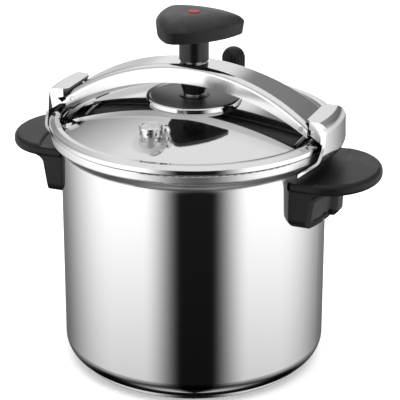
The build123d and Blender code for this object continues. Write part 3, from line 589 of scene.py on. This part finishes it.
@dataclass(frozen=True)
class MilledMetal(Finish):
    """Turned or plated metal of small fittings, with tool marks and dull spots."""

    marks: float = 3500.0
    mark_stretch: float = 0.05
    spot_scale: float = 240.0

    def relief(self, graph: Graph, x: Value, y: Value, z: Value, marks: Value) -> Value:
        """Height of the surface for the bump: tool marks alone."""
        return marks * 0.1

    def wire(self, graph: Graph, shader: bpy.types.Node) -> None:
        """Feeds the shader with tool marks and dull spots.

        Args:
            graph: Tree of the material.
            shader: Its Principled node.
        """
        place = graph.node("ShaderNodeTexCoord").outputs["Object"]
        x, y, z = graph.axes(place)
        along = graph.vector(x * self.mark_stretch, y * self.mark_stretch, z)
        marks = graph.noise(along, self.marks, 2.0, 0.6)
        dull_and_shade = graph.noise(place, self.spot_scale, 3.0, 0.6).ease(0.45, 0.75)
        darker = tuple(0.72 * c for c in self.colour)
        colour = graph.mix(dull_and_shade * 0.5 + (marks - 0.5) * 0.2, self.colour, darker)
        graph.feed(shader.inputs["Base Color"], colour)
        shader.inputs["Metallic"].default_value = 1.0
        graph.feed(shader.inputs["Roughness"], self.roughness + dull_and_shade * 0.12 + (marks - 0.5) * 0.08)
        height = self.relief(graph, x, y, z, marks)
        graph.feed(shader.inputs["Normal"], graph.bump(0.2, 0.4 * MM, height))


@dataclass(frozen=True)
class ThreadedMetal(MilledMetal):
    """Screw metal with a rolled thread around the Z axis."""

    pitch: float = 0.0015
    depth: float = 2.0

    def relief(self, graph: Graph, x: Value, y: Value, z: Value, marks: Value) -> Value:
        """Height of the surface for the bump.

        Args:
            graph: Tree of the material.
            x: Place along X.
            y: Place along Y.
            z: Place along Z.
            marks: Tool marks.

        Returns:
            Tool marks on a thread.
        """
        turn = graph.math("ARCTAN2", y, x)
        thread = graph.math("SINE", z * (2.0 * math.pi / self.pitch) - turn, 0.0)
        return marks * 0.1 + thread * self.depth


POT_STEEL = PolishedSteel(
    "pot_steel",
    (0.74, 0.74, 0.745),
    0.075,
    Lay.AROUND,
    2400.0,
    0.02,
    0.025,
    satin_from=0.2,
    satin=0.3,
)
BASE_STEEL = PolishedSteel("base_steel", (0.70, 0.70, 0.71), 0.16, Lay.AROUND, 1800.0, 0.05, 0.05)
LID_STEEL = PolishedSteel(
    "lid_steel",
    (0.76, 0.76, 0.765),
    0.045,
    Lay.AROUND,
    2400.0,
    0.012,
    0.02,
    pads=((-0.004, -0.088), (0.004, 0.088)),
)
# Centre plate: its up-turned faces get painted shade under the screw foot.
BOSS_STEEL = PolishedSteel(
    "lid_steel",
    (0.76, 0.76, 0.765),
    0.06,
    hollow=Hollow.DISH,
    dull_and_shade=(0.16, 0.16, 0.165),
    title="boss_steel",
)
# Yoke and claws: their inner faces get painted shade through the hollow setting.
YOKE_STEEL = PolishedSteel(
    "yoke_steel", (0.80, 0.80, 0.805), 0.12, Lay.ALONG_X, 2400.0, 0.02, 0.02, hollow=Hollow.CHANNEL
)
CLAW_STEEL = PolishedSteel(
    "claw_steel", (0.76, 0.76, 0.765), 0.07, Lay.UPRIGHT, 2400.0, 0.02, 0.02, hollow=Hollow.HOOK
)
PIN_STEEL = MilledMetal("pin_steel", (0.66, 0.66, 0.67), 0.2)
SCREW_STEEL = ThreadedMetal("screw_steel", (0.62, 0.62, 0.63), 0.18)
VALVE_STEEL = MilledMetal("valve_steel", (0.72, 0.72, 0.725), 0.2)
SPRING_STEEL = MilledMetal("spring_steel", (0.52, 0.52, 0.53), 0.26)
FIXING_ZINC = MilledMetal("fixing_zinc", (0.60, 0.60, 0.61), 0.26)
# Bolt heads painted near-black: painted shade standing in for the shade inside their holes in the
# handles.
BOLT_PAINTED_SHADE = MilledMetal("fixing_zinc", (0.03, 0.03, 0.031), 0.5, title="bolt_zinc")
BASE_CORE = MilledMetal("base_core", (0.70, 0.70, 0.71), 0.4, 900.0)
HANDLE_PLASTIC = HandlePlastic("handle_plastic", (0.006, 0.006, 0.0065), 0.36)
KNOB_PLASTIC = KnobPlastic(
    "knob_plastic", (0.010, 0.010, 0.011), 0.36, 1500.0, 0.14, 0.06, shine=0.3
)
REGULATOR_PLASTIC = MouldedPlastic("regulator_plastic", (0.012, 0.012, 0.013), 0.34)
FOOT_BLACK = MouldedPlastic("foot_black", (0.014, 0.014, 0.015), 0.3)
GASKET_RUBBER = MouldedPlastic("gasket_rubber", (0.16, 0.16, 0.165), 0.55, 900.0, 0.12, 0.05, 1.25)
KNOB_SPOT = MouldedPlastic("knob_spot", (0.20, 0.004, 0.008), 0.3, 1200.0, 0.06, 0.05, 1.2)


def dress(finish: Finish, *names: str) -> None:
    """Gives CAD nodes a finish.

    Args:
        finish: The finish.
        names: Names of the nodes.
    """
    for name in names:
        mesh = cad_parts[name].data
        mesh.materials.clear()
        mesh.materials.append(finish.material())
        log.info("%s wears %s", name, finish.slot)


class Shaper:
    """A Geometry Nodes tree with named sizes, and the plain mesh that it makes."""

    def __init__(self, name: str, sizes: Dict[str, float]) -> None:
        """Starts the tree.

        Args:
            name: Name of the piece.
            sizes: Its sizes in metres, or plain counts, by name.
        """
        self.name = name
        self.sizes = sizes
        self.tree = bpy.data.node_groups.new(name, "GeometryNodeTree")
        self.graph = Graph(self.tree)
        sockets = self.tree.interface
        sockets.new_socket("Geometry", in_out="INPUT", socket_type="NodeSocketGeometry")
        for title in sizes:
            sockets.new_socket(title, in_out="INPUT", socket_type="NodeSocketFloat")
        sockets.new_socket("Geometry", in_out="OUTPUT", socket_type="NodeSocketGeometry")
        self.entry = self.graph.node("NodeGroupInput")

    def size(self, title: str) -> Value:
        """One of the named sizes."""
        return Value(self.graph, self.entry.outputs[title])

    def shape(
        self, kind: str, settings: Optional[Dict[str, Any]], inputs: Dict[Union[str, int], Any]
    ) -> Any:
        """Adds a node and gives its first output."""
        return self.graph.node(kind, settings, inputs).outputs[0]

    def lift(self, shape: Any, height: Term) -> Any:
        """Moves a shape along Z."""
        place = self.graph.vector(0.0, 0.0, height)
        return self.shape("GeometryNodeTransform", None, {"Geometry": shape, "Translation": place})

    def close(self, shape: Any, finish: Finish) -> None:
        """Puts the shape on every point and ends the tree.

        Args:
            shape: The shape to repeat.
            finish: Its finish.
        """
        places = self.entry.outputs["Geometry"]
        points = self.shape("GeometryNodeMeshToPoints", None, {"Mesh": places})
        spread = self.shape(
            "GeometryNodeInstanceOnPoints", None, {"Points": points, "Instance": shape}
        )
        real = self.shape("GeometryNodeRealizeInstances", None, {"Geometry": spread})
        dressed = self.shape(
            "GeometryNodeSetMaterial",
            None,
            {"Geometry": real, "Material": finish.material()},
        )
        self.graph.node("NodeGroupOutput", None, {0: dressed})

    def make(self, points: Sequence[Point]) -> bpy.types.Object:
        """Runs the tree.

        Args:
            points: Places of the repeated shape.

        Returns:
            The piece, with a plain mesh.
        """
        mesh = bpy.data.meshes.new(self.name)
        mesh.from_pydata([tuple(p) for p in points], [], [])
        made = bpy.data.objects.new(self.name, mesh)
        bpy.context.scene.collection.objects.link(made)
        shaping = made.modifiers.new("shape", "NODES")
        shaping.node_group = self.tree
        for item in self.tree.interface.items_tree:
            if item.in_out == "INPUT" and item.name in self.sizes:
                shaping[item.identifier] = self.sizes[item.name]
        bpy.context.view_layer.update()
        deps = bpy.context.evaluated_depsgraph_get()
        plain = bpy.data.meshes.new_from_object(made.evaluated_get(deps))
        made.modifiers.remove(shaping)
        made.data = plain
        log.info("%s has %d faces", self.name, len(plain.polygons))
        return made


@dataclass
class Pot:
    """Drawn pot with its base and its two handles."""

    shell: str = "pot_body"
    sides: Tuple[str, str] = ("left", "right")
    head_radius: float = 0.0044
    head_tall: float = 0.0032
    shank_radius: float = 0.0025
    recess_width: float = 0.0011
    recess_length: float = 0.0052
    recess_depth: float = 0.0016
    crown_share: float = 0.25
    crown_taper: float = 0.82

    def bolts(self) -> None:
        """Makes the four handle bolts, with rounded heads and cross recesses."""
        low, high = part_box("handle_bolts")
        shaper = Shaper(
            "handle_bolt_set",
            {
                "Head radius": self.head_radius,
                "Head height": self.head_tall,
                "Shank radius": self.shank_radius,
                "Shank height": high[2] - low[2] - self.head_tall,
                "Recess width": self.recess_width,
                "Recess length": self.recess_length,
                "Recess depth": self.recess_depth,
            },
        )
        radius, tall = shaper.size("Head radius"), shaper.size("Head height")
        width, length = shaper.size("Recess width"), shaper.size("Recess length")
        depth = shaper.size("Recess depth")
        crown = shaper.shape(
            "GeometryNodeMeshCone",
            None,
            {
                "Vertices": 40,
                "Radius Top": radius,
                "Radius Bottom": radius * self.crown_taper,
                "Depth": tall * self.crown_share,
            },
        )
        drum = shaper.shape(
            "GeometryNodeMeshCylinder",
            None,
            {"Vertices": 40, "Radius": radius, "Depth": tall * (1.0 - self.crown_share)},
        )
        shank_tall = shaper.size("Shank height")
        shank = shaper.shape(
            "GeometryNodeMeshCylinder",
            None,
            {"Vertices": 24, "Radius": shaper.size("Shank radius"), "Depth": shank_tall},
        )
        graph = shaper.graph
        bar_size = graph.vector(width, length, depth * 2.0)
        bar = shaper.shape("GeometryNodeMeshCube", None, {"Size": bar_size})
        cross_size = graph.vector(length, width, depth * 2.0)
        cross = shaper.shape("GeometryNodeMeshCube", None, {"Size": cross_size})
        solid = graph.node(
            "GeometryNodeMeshBoolean",
            {"operation": "UNION", "solver": "EXACT"},
            {"Self Intersection": True},
        )
        drum = shaper.lift(drum, tall * (0.5 + 0.5 * self.crown_share))
        for piece in (crown, drum, shaper.lift(shank, tall + shank_tall * 0.5)):
            graph.tree.links.new(piece, solid.inputs["Mesh 2"])
        cut = graph.node(
            "GeometryNodeMeshBoolean",
            {"operation": "DIFFERENCE", "solver": "EXACT"},
            {"Mesh 1": solid.outputs[0], "Self Intersection": True},
        )
        for piece in (bar, cross):
            graph.tree.links.new(piece, cut.inputs["Mesh 2"])
        # The bolts wear the near-black finish, which is painted shade of their holes.
        shaper.close(cut.outputs[0], BOLT_PAINTED_SHADE)
        x, y = high[0] - self.head_radius, high[1] - self.head_radius
        made = shaper.make([(sx * x, sy * y, low[2]) for sx in (-1, 1) for sy in (-1, 1)])
        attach(made, "pot")
        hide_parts("handle_bolts")

    def build(self) -> None:
        """Dresses the pot, the base and the handles."""
        dress(POT_STEEL, self.shell)
        dress(BASE_STEEL, "base_cap")
        dress(BASE_CORE, "base_core")
        for side in self.sides:
            dress(POT_STEEL, "bracket_" + side)
            dress(HANDLE_PLASTIC, "handle_" + side)
        self.bolts()


@dataclass
class Lid:
    """Domed lid with its gasket and centre plate."""

    def build(self) -> None:
        """Dresses the lid."""
        dress(LID_STEEL, "lid")
        dress(BOSS_STEEL, "lid_boss_plate")
        dress(GASKET_RUBBER, "lid_gasket")
        dress(PIN_STEEL, "lid_pivot_stud", "foot_washer")


@dataclass
class Clamp:
    """Yoke, claws, clamp screw and knob."""

    sides: Tuple[str, str] = ("left", "right")

    def build(self) -> None:
        """Dresses the clamp."""
        dress(YOKE_STEEL, "yoke")
        dress(SCREW_STEEL, "yoke_bush", "clamp_screw")
        for side in self.sides:
            dress(CLAW_STEEL, "claw_" + side)
            dress(PIN_STEEL, "claw_pin_" + side)
        dress(FOOT_BLACK, "screw_foot")
        dress(KNOB_PLASTIC, "knob")
        dress(KNOB_SPOT, "knob_spot")
        dress(FIXING_ZINC, "knob_washer", "knob_nut")


@dataclass
class Valves:
    """Spring safety valve at the front and operating valve at the back."""

    wire: float = 0.0005
    turns: float = 3.5
    travel: float = 0.0012
    seat: float = 0.2474

    def spring(self) -> None:
        """Winds the valve spring from round wire."""
        low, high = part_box("valve_spring")
        tall = high[2] - low[2]
        shaper = Shaper(
            "valve_spring_coil",
            {
                "Wire radius": self.wire,
                "Coil radius": 0.5 * (high[0] - low[0]) - self.wire,
                "Coil height": tall - 2.0 * self.wire,
                "Turns": self.turns,
            },
        )
        coil = shaper.shape(
            "GeometryNodeCurveSpiral",
            None,
            {
                "Resolution": 40,
                "Rotations": shaper.size("Turns"),
                "Start Radius": shaper.size("Coil radius"),
                "End Radius": shaper.size("Coil radius"),
                "Height": shaper.size("Coil height"),
            },
        )
        ring = shaper.shape(
            "GeometryNodeCurvePrimitiveCircle",
            None,
            {"Resolution": 12, "Radius": shaper.size("Wire radius")},
        )
        tube = shaper.shape(
            "GeometryNodeCurveToMesh",
            None,
            {"Curve": coil, "Profile Curve": ring, "Fill Caps": True},
        )
        smooth = shaper.shape("GeometryNodeSetShadeSmooth", None, {"Geometry": tube})
        shaper.close(smooth, SPRING_STEEL)
        middle = (0.5 * (low[0] + high[0]), 0.5 * (low[1] + high[1]))
        made = shaper.make([(*middle, low[2] + self.wire)])
        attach(made, "lid")
        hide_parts("valve_spring")
        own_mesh(made)

    def build(self) -> None:
        """Dresses the two valves and winds the spring."""
        dress(VALVE_STEEL, "valve_body", "valve_cap", "valve_plunger", "valve_keeper")
        dress(VALVE_STEEL, "nozzle", "regulator_weight")
        self.spring()
        dress(FIXING_ZINC, "valve_nut", "nozzle_nut")
        dress(GASKET_RUBBER, "valve_seal", "nozzle_seal")
        dress(REGULATOR_PLASTIC, "regulator_grip")


@dataclass(frozen=True)
class Surround:
    """Light around the object, by swing from the camera and rise over the horizon, in degrees."""

    panel: float = 1.95
    sky: float = 1.2
    gap_centre: float = 2.0
    gap_edge: Span = (13.0, 48.0)
    gap_light: float = 0.008
    panel_end: Span = (75.0, 160.0)
    panel_end_share: float = 0.85
    wall_fade: Span = (-29.0, -21.0)
    wall_least: float = 0.45
    corner_fade: Span = (-46.0, -30.0)
    corner_least: float = 0.1
    floor_fade: Span = (-74.0, -56.0)
    floor_light: float = 0.7
    shade_side: Span = (75.0, 105.0)
    shade_rise: Span = (-50.0, -30.0)
    shade_share: float = 0.92
    rear_edge: Span = (100.0, 140.0)
    front_horizon: Span = (4.0, 34.0)
    rear_horizon: Span = (2.0, 12.0)
    sky_fade: Span = (20.0, 52.0)
    sky_least: float = 0.33
    card_swing: Tuple[Span, Span] = ((120.0, 135.0), (163.0, 168.0))
    card_rise: Tuple[Span, Span] = ((8.0, 14.0), (36.0, 44.0))
    card_share: float = 0.45
    strip_edge: Span = (9.0, 15.0)
    strip_rise: Tuple[Span, Span] = ((6.0, 12.0), (26.0, 34.0))
    strip_light: float = 1.15
    skirting_edge: Span = (30.0, 60.0)
    skirting_rise: Tuple[Span, Span] = ((-18.0, -10.0), (6.0, 14.0))
    skirting_light: float = 0.5

    def panels(self, off: Value, rise: Value) -> Value:
        """Light of the two broad panels, with the dark gap at the camera.

        Args:
            off: Swing away from the gap, without its sign.
            rise: Angle over the horizon.

        Returns:
            Light below the horizon.
        """
        share = off.ease(*self.gap_edge) * (1.0 - off.ease(*self.panel_end) * self.panel_end_share)
        corner = rise.ramp(*self.corner_fade, self.corner_least, 1.0)
        corner = corner + rise.ramp(*self.floor_fade, self.floor_light, 0.0)
        under = rise.ramp(*self.wall_fade, self.wall_least, 1.0) * corner
        shaded = off.ease(*self.shade_side) * (1.0 - rise.ease(*self.shade_rise))
        return (share + self.gap_light) * under * (1.0 - shaded * self.shade_share) * self.panel

    def heaven(self, swing: Value, rise: Value) -> Value:
        """Light of the sky, with a grey card at one side of the back.

        Args:
            swing: Angle from the camera.
            rise: Angle over the horizon.

        Returns:
            Light above the horizon.
        """
        card = swing.window(*self.card_swing) * rise.window(*self.card_rise)
        fade = rise.ramp(*self.sky_fade, self.sky_least, 1.0)
        return fade * (1.0 - card * self.card_share) * self.sky

    def build(self, azimuth: float) -> None:
        """Makes the world.

        Args:
            azimuth: Angle of the camera.
        """
        world = bpy.data.worlds.new("studio")
        bpy.context.scene.world = world
        world.use_nodes = True
        graph = Graph(world.node_tree)
        x, y, z = graph.axes(graph.node("ShaderNodeTexCoord").outputs["Generated"])
        a = math.radians(azimuth)
        ahead = x * math.sin(a) - y * math.cos(a)
        aside = x * math.cos(a) + y * math.sin(a)
        swing = graph.math("ARCTAN2", aside, ahead) * (180.0 / math.pi)
        rise = graph.math("ARCSINE", z, 0.0) * (180.0 / math.pi)
        off = (swing - self.gap_centre).absolute()
        back = 180.0 - swing.absolute()
        rear = off.ease(*self.rear_edge)
        upper = rise.ease(*self.front_horizon) * (1.0 - rear) + rise.ease(*self.rear_horizon) * rear
        light = self.panels(off, rise) * (1.0 - upper) + upper * self.heaven(swing, rise)
        strip = (1.0 - back.ease(*self.strip_edge)) * rise.window(*self.strip_rise)
        light = light * (1.0 - strip) + strip * self.strip_light
        skirting = (1.0 - back.ease(*self.skirting_edge)) * rise.window(*self.skirting_rise)
        light = light + skirting * self.skirting_light
        shade = graph.node("ShaderNodeBackground", None, {"Strength": light})
        graph.node("ShaderNodeOutputWorld", None, {"Surface": shade.outputs[0]})


@dataclass
class Studio:
    """Pale floor, soft light and the camera."""

    azimuth: float = 22.2
    elevation: float = 22.0
    distance: float = 1.6
    target: Point = (0.0, 0.0, 0.148)
    lens: float = 157.2
    shift: float = 0.015
    floor_half: float = 6.0
    floor_tones: Tuple[Colour, Colour] = ((0.93, 0.93, 0.93), (0.95, 0.95, 0.95))
    floor_glow: float = 0.25
    top_light: float = 40.0
    top_size: float = 2.6
    top_place: Point = (0.0, 0.2, 1.9)
    around: Surround = Surround()

    def build(self) -> None:
        """Sets up the floor, the light and the camera."""
        self.camera()
        self.floor()
        self.around.build(self.azimuth)
        self.overhead()
        view = bpy.context.scene.view_settings
        view.view_transform = "Standard"
        view.look = "None"

    def towards(self, turn: float, rise: float) -> Vector:
        """Direction from the object, by angles in degrees."""
        a, e = math.radians(turn), math.radians(rise)
        return Vector((math.sin(a) * math.cos(e), -math.cos(a) * math.cos(e), math.sin(e)))

    def camera(self) -> None:
        """Makes the camera at the viewing angle."""
        data = bpy.data.cameras.new("camera")
        data.lens = self.lens
        data.sensor_width = 36.0
        data.shift_x = self.shift
        data.clip_start = 0.05
        data.clip_end = 60.0
        made = bpy.data.objects.new("camera", data)
        bpy.context.scene.collection.objects.link(made)
        back = self.towards(self.azimuth, self.elevation)
        made.location = Vector(self.target) + back * self.distance
        made.rotation_mode = "QUATERNION"
        made.rotation_quaternion = (-back).to_track_quat("-Z", "Y")
        bpy.context.scene.camera = made

    def floor(self) -> None:
        """Makes the pale floor."""
        half = self.floor_half
        mesh = bpy.data.meshes.new("floor")
        square = [(-half, -half, 0.0), (half, -half, 0.0), (half, half, 0.0), (-half, half, 0.0)]
        mesh.from_pydata(square, [], [(0, 1, 2, 3)])
        made = bpy.data.objects.new("floor", mesh)
        bpy.context.scene.collection.objects.link(made)
        paint = bpy.data.materials.new("floor_paper")
        paint.use_nodes = True
        graph = Graph(paint.node_tree)
        place = graph.node("ShaderNodeTexCoord").outputs["Object"]
        tone = graph.mix(graph.noise(place, 3.0), *self.floor_tones)
        shader = graph.node(
            "ShaderNodeBsdfPrincipled", None, {"Base Color": tone, "Roughness": 0.8}
        )
        shader.inputs["Specular IOR Level"].default_value = 0.1
        shader.inputs["Emission Color"].default_value = (1.0, 1.0, 1.0, 1.0)
        shader.inputs["Emission Strength"].default_value = self.floor_glow
        graph.node("ShaderNodeOutputMaterial", None, {"Surface": shader.outputs[0]})
        mesh.materials.append(paint)
        made.visible_glossy = False

    def overhead(self) -> None:
        """Makes the large soft light above."""
        data = bpy.data.lights.new("overhead", "AREA")
        data.shape = "SQUARE"
        data.size = self.top_size
        data.energy = self.top_light
        made = bpy.data.objects.new("overhead", data)
        bpy.context.scene.collection.objects.link(made)
        made.location = self.top_place
        made.visible_glossy = False


def main() -> None:
    """Builds the pieces in order."""
    logging.basicConfig(level=logging.INFO, format="%(name)s: %(message)s")
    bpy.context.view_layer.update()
    Studio().build()
    for group in (Pot(), Lid(), Clamp(), Valves()):
        group.build()
        log.info("%s is done", type(group).__name__)
    bpy.context.view_layer.update()


if __name__ == "__main__":
    main()
